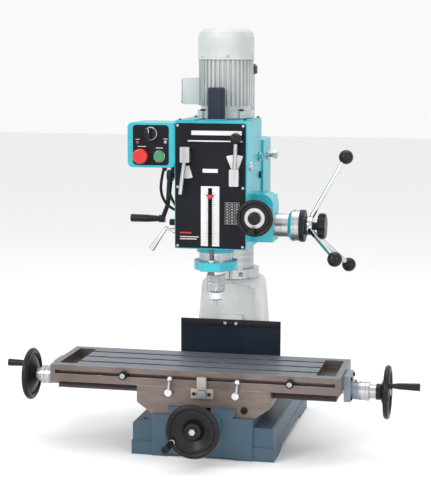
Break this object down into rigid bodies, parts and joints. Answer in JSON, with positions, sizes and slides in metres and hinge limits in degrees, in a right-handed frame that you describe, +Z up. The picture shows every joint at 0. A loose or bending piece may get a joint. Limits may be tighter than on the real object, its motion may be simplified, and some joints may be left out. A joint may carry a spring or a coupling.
{
  "type": "benchtop milling machine",
  "caption": "Round-column benchtop mill-drill: geared head with top motor, quill and chuck, T-slot table on dovetail saddle and slotted base, handwheel feeds.",
  "frame": {"origin": "centre of the four base bolts, on the underside of the base", "axes": "+Z up along the column, -Y towards the operator, +X to the operator's right along the table"},
  "size_m": [1.19, 0.812, 1.151],
  "materials": {
    "base_blue": "gloss enamel",
    "pedestal_grey": "satin enamel",
    "ground_steel": "ground",
    "saddle_iron": "machined",
    "cap_black": "gloss",
    "cover_rubber": "matte",
    "bronze": "machined",
    "bright_steel": "turned",
    "chrome": "polished",
    "head_teal": "gloss enamel",
    "plate_black": "satin",
    "motor_white": "satin",
    "cap_blue": "satin",
    "cable_black": "matte",
    "stop_red": "gloss",
    "start_green": "gloss"
  },
  "bodies": {
    "frame": {"base_casting": "base_blue", "column_pedestal": "pedestal_grey", "column": "ground_steel", "column_collar": "saddle_iron", "column_cap": "cap_black", "screw_bracket": "base_blue", "way_cover": "cover_rubber"},
    "saddle": {"saddle": "saddle_iron", "stop_bracket": "saddle_iron", "feed_nuts": "bronze"},
    "lock_left": {"table_lock_left": "bright_steel"},
    "lock_right": {"table_lock_right": "bright_steel"},
    "table": {"table": "ground_steel", "end_brackets": "ground_steel"},
    "stop_left": {"table_stop_left": "bright_steel"},
    "stop_right": {"table_stop_right": "bright_steel"},
    "long_screw": {"long_screw": "bright_steel", "long_handwheels": "cap_black"},
    "grip_right": {"grip_right": "cap_black"},
    "grip_left": {"grip_left": "cap_black"},
    "cross_screw": {"cross_screw": "bright_steel", "cross_handwheel": "cap_black"},
    "grip_front": {"grip_front": "cap_black"},
    "swivel": {"rack": "ground_steel"},
    "lift": {"column_sleeve": "head_teal", "sleeve_bolts": "cap_black"},
    "crank": {"elevation_crank": "bright_steel"},
    "crank_grip": {"crank_grip": "cap_black"},
    "lift_gear": {"elevation_gear": "bright_steel"},
    "head": {"head_casting": "head_teal", "front_plate": "plate_black", "motor_housing": "motor_white", "fan_cover": "motor_white", "drawbar_cap": "cap_blue", "spring_cover": "bright_steel", "control_box": "head_teal", "motor_cables": "cable_black"},
    "rotor": {"motor_rotor": "bright_steel"},
    "counter": {"counter_gears": "bright_steel"},
    "drive": {"drive_sleeve": "bright_steel"},
    "quill": {"quill": "ground_steel", "quill_bracket": "head_teal", "depth_rod": "bright_steel"},
    "spindle": {"spindle": "bright_steel", "drill_chuck": "chrome"},
    "chuck_sleeve": {"chuck_sleeve": "chrome"},
    "jaw_1": {"chuck_jaw_1": "bright_steel"},
    "jaw_2": {"chuck_jaw_2": "bright_steel"},
    "jaw_3": {"chuck_jaw_3": "bright_steel"},
    "feed": {"feed_shaft": "bright_steel", "feed_levers": "chrome", "lever_balls": "cap_black"},
    "star_knob": {"star_knob": "cap_black"},
    "fine_wheel": {"fine_wheel": "head_teal"},
    "selector_left": {"selector_left": "bright_steel"},
    "selector_right": {"selector_right": "bright_steel"},
    "estop": {"estop_button": "stop_red"},
    "start": {"start_button": "start_green"},
    "speed_switch": {"speed_switch": "cap_black"},
    "quill_lock": {"quill_lock": "bright_steel"}
  },
  "joints": [
    {"name": "saddle_slide", "type": "slide", "parent": "frame", "child": "saddle", "axis": [0, 1, 0], "range_m": [-0.079, 0.088], "deforming": ["way_cover"]},
    {"name": "cross_feed", "type": "hinge", "parent": "frame", "child": "cross_screw", "pos_m": [0, -0.306, 0.104], "axis": [0, 1, 0], "range_deg": [-5689, 6338]},
    {"name": "front_grip_spin", "type": "hinge", "parent": "cross_screw", "child": "grip_front", "pos_m": [-0.05121, -0.46, 0.07677], "axis": [0, 1, 0], "continuous": true},
    {"name": "left_lock_turn", "type": "hinge", "parent": "saddle", "child": "lock_left", "pos_m": [-0.091, -0.294, 0.179], "axis": [0, 1, 0], "range_deg": [-60, 60]},
    {"name": "right_lock_turn", "type": "hinge", "parent": "saddle", "child": "lock_right", "pos_m": [0.093, -0.294, 0.179], "axis": [0, 1, 0], "range_deg": [-60, 60]},
    {"name": "table_slide", "type": "slide", "parent": "saddle", "child": "table", "axis": [1, 0, 0], "range_m": [-0.176, 0.19]},
    {"name": "long_feed", "type": "hinge", "parent": "table", "child": "long_screw", "pos_m": [0, -0.174, 0.178], "axis": [1, 0, 0], "range_deg": [-12673, 13682]},
    {"name": "right_grip_spin", "type": "hinge", "parent": "long_screw", "child": "grip_right", "pos_m": [0.53, -0.22372, 0.20787], "axis": [1, 0, 0], "continuous": true},
    {"name": "left_grip_spin", "type": "hinge", "parent": "long_screw", "child": "grip_left", "pos_m": [-0.57, -0.11825, 0.19399], "axis": [1, 0, 0], "continuous": true},
    {"name": "left_stop_slide", "type": "slide", "parent": "table", "child": "stop_left", "axis": [-1, 0, 0], "range_m": [-0.15, 0.15]},
    {"name": "right_stop_slide", "type": "slide", "parent": "table", "child": "stop_right", "axis": [-1, 0, 0], "range_m": [-0.1, 0.15]},
    {"name": "head_swing", "type": "hinge", "parent": "frame", "child": "swivel", "pos_m": [0, 0.132, 0.46], "axis": [0, 0, 1], "range_deg": [-180, 180]},
    {"name": "head_lift", "type": "slide", "parent": "swivel", "child": "lift", "axis": [0, 0, 1], "range_m": [-0.13, 0.17]},
    {"name": "lift_crank_turn", "type": "hinge", "parent": "lift", "child": "crank", "pos_m": [-0.1, 0.084, 0.73], "axis": [1, 0, 0], "range_deg": [-10642, 13916]},
    {"name": "crank_grip_spin", "type": "hinge", "parent": "crank", "child": "crank_grip", "pos_m": [-0.26, 0.084, 0.601], "axis": [1, 0, 0], "continuous": true},
    {"name": "lift_gear_turn", "type": "hinge", "parent": "lift", "child": "lift_gear", "pos_m": [-0.0825, 0.1, 0.701], "axis": [0, 1, 0], "range_deg": [-532.2, 695.9]},
    {"name": "head_tilt", "type": "hinge", "parent": "lift", "child": "head", "pos_m": [0, 0.02, 0.72], "axis": [0, 1, 0], "range_deg": [-90, 35]},
    {"name": "motor_spin", "type": "hinge", "parent": "head", "child": "rotor", "pos_m": [0.004, -0.016, 0.95], "axis": [0, 0, 1], "continuous": true},
    {"name": "counter_spin", "type": "hinge", "parent": "head", "child": "counter", "pos_m": [0.03786, -0.06913, 0.84], "axis": [0, 0, 1], "continuous": true},
    {"name": "drive_spin", "type": "hinge", "parent": "head", "child": "drive", "pos_m": [0, -0.128, 0.84], "axis": [0, 0, 1], "continuous": true},
    {"name": "feed_turn", "type": "hinge", "parent": "head", "child": "feed", "pos_m": [0, -0.07, 0.611], "axis": [1, 0, 0], "range_deg": [0, 496.5], "stiffness_Nm_per_rad": 0.6, "springref_deg": -286.48},
    {"name": "quill_slide", "type": "slide", "parent": "head", "child": "quill", "axis": [0, 0, -1], "range_m": [0, 0.13]},
    {"name": "spindle_spin", "type": "hinge", "parent": "quill", "child": "spindle", "pos_m": [0, -0.128, 0.6], "axis": [0, 0, 1], "continuous": true},
    {"name": "chuck_turn", "type": "hinge", "parent": "spindle", "child": "chuck_sleeve", "pos_m": [0, -0.128, 0.45], "axis": [0, 0, 1], "range_deg": [0, 3600]},
    {"name": "jaw_1_slide", "type": "slide", "parent": "spindle", "child": "jaw_1", "axis": [0.2079, 0, 0.9781], "range_m": [0, 0.03]},
    {"name": "jaw_2_slide", "type": "slide", "parent": "spindle", "child": "jaw_2", "axis": [-0.104, 0.1801, 0.9781], "range_m": [0, 0.03]},
    {"name": "jaw_3_slide", "type": "slide", "parent": "spindle", "child": "jaw_3", "axis": [-0.104, -0.1801, 0.9781], "range_m": [0, 0.03]},
    {"name": "star_knob_turn", "type": "hinge", "parent": "feed", "child": "star_knob", "pos_m": [0.27, -0.07, 0.611], "axis": [1, 0, 0], "range_deg": [-180, 180]},
    {"name": "fine_feed_turn", "type": "hinge", "parent": "head", "child": "fine_wheel", "pos_m": [0.131, -0.2, 0.65], "axis": [0, 1, 0], "continuous": true},
    {"name": "left_selector_turn", "type": "hinge", "parent": "head", "child": "selector_left", "pos_m": [-0.067, -0.204, 0.812], "axis": [0, 1, 0], "range_deg": [-18, 6]},
    {"name": "right_selector_turn", "type": "hinge", "parent": "head", "child": "selector_right", "pos_m": [0.068, -0.204, 0.75], "axis": [0, 1, 0], "range_deg": [-24, 16]},
    {"name": "stop_button_press", "type": "slide", "parent": "head", "child": "estop", "axis": [0, 1, 0], "range_m": [0, 0.005]},
    {"name": "start_button_press", "type": "slide", "parent": "head", "child": "start", "axis": [0, 1, 0], "range_m": [0, 0.003], "stiffness_N_per_m": 400, "springref_m": -0.002},
    {"name": "speed_switch_turn", "type": "hinge", "parent": "head", "child": "speed_switch", "pos_m": [-0.167, -0.198, 0.867], "axis": [0, 1, 0], "range_deg": [-45, 45]},
    {"name": "quill_lock_turn", "type": "hinge", "parent": "head", "child": "quill_lock", "pos_m": [-0.118, -0.128, 0.595], "axis": [1, 0, 0], "range_deg": [-40, 40]}
  ],
  "couplings": [
    {"joint": "cross_feed", "follows": "saddle_slide", "rad_per_m": 1256.6},
    {"joint": "long_feed", "follows": "table_slide", "rad_per_m": 1256.6},
    {"joint": "lift_crank_turn", "follows": "head_lift", "rad_per_m": 1428.6},
    {"joint": "lift_gear_turn", "follows": "head_lift", "rad_per_m": 71.429},
    {"joint": "counter_spin", "follows": "motor_spin", "ratio": -0.4},
    {"joint": "drive_spin", "follows": "motor_spin", "ratio": 0.16},
    {"joint": "spindle_spin", "follows": "motor_spin", "ratio": 0.16},
    {"joint": "quill_slide", "follows": "feed_turn", "m_per_rad": 0.015},
    {"joint": "jaw_1_slide", "follows": "chuck_turn", "m_per_rad": 0.00047746},
    {"joint": "jaw_2_slide", "follows": "chuck_turn", "m_per_rad": 0.00047746},
    {"joint": "jaw_3_slide", "follows": "chuck_turn", "m_per_rad": 0.00047746}
  ]
}
